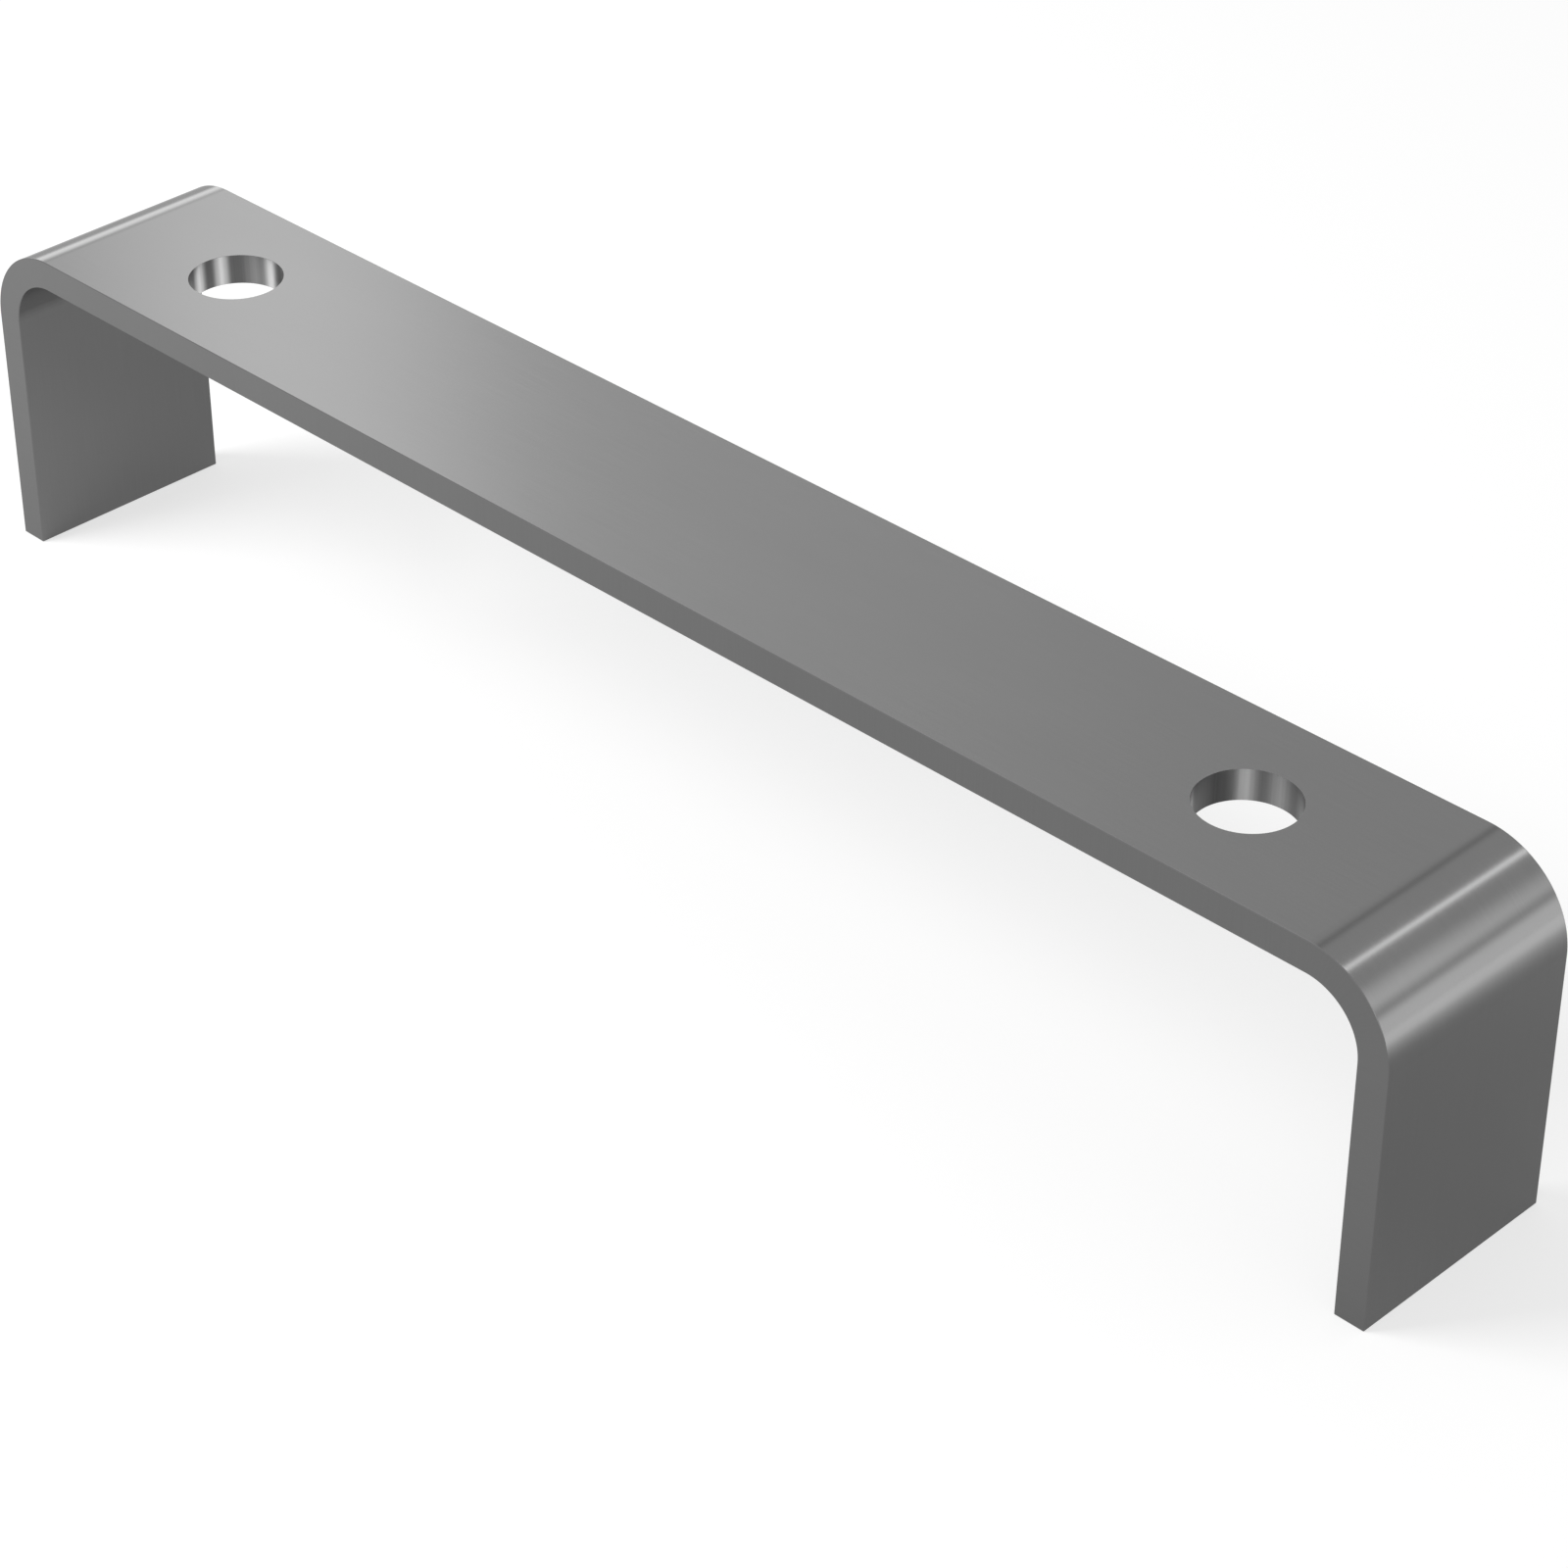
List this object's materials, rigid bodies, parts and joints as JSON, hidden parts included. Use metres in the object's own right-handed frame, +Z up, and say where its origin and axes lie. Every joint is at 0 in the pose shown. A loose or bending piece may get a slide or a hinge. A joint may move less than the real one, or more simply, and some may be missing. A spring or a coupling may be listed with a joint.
{
  "type": "mounting bracket",
  "caption": "U-shaped mounting bracket folded from flat steel strip, with a bolt hole near each end of its long web.",
  "frame": {"origin": "on the floor under the middle of the web, midway between the two legs", "axes": "+X along the web, +Y across the strip's width, +Z up from the feet to the web's top"},
  "size_m": [0.1968, 0.0254, 0.0381],
  "materials": {
    "satin_steel": "plain satin steel with fine mill grain, square-cut edges lightly broken"
  },
  "bodies": {
    "root": {"bracket": "satin_steel"}
  },
  "joints": []
}
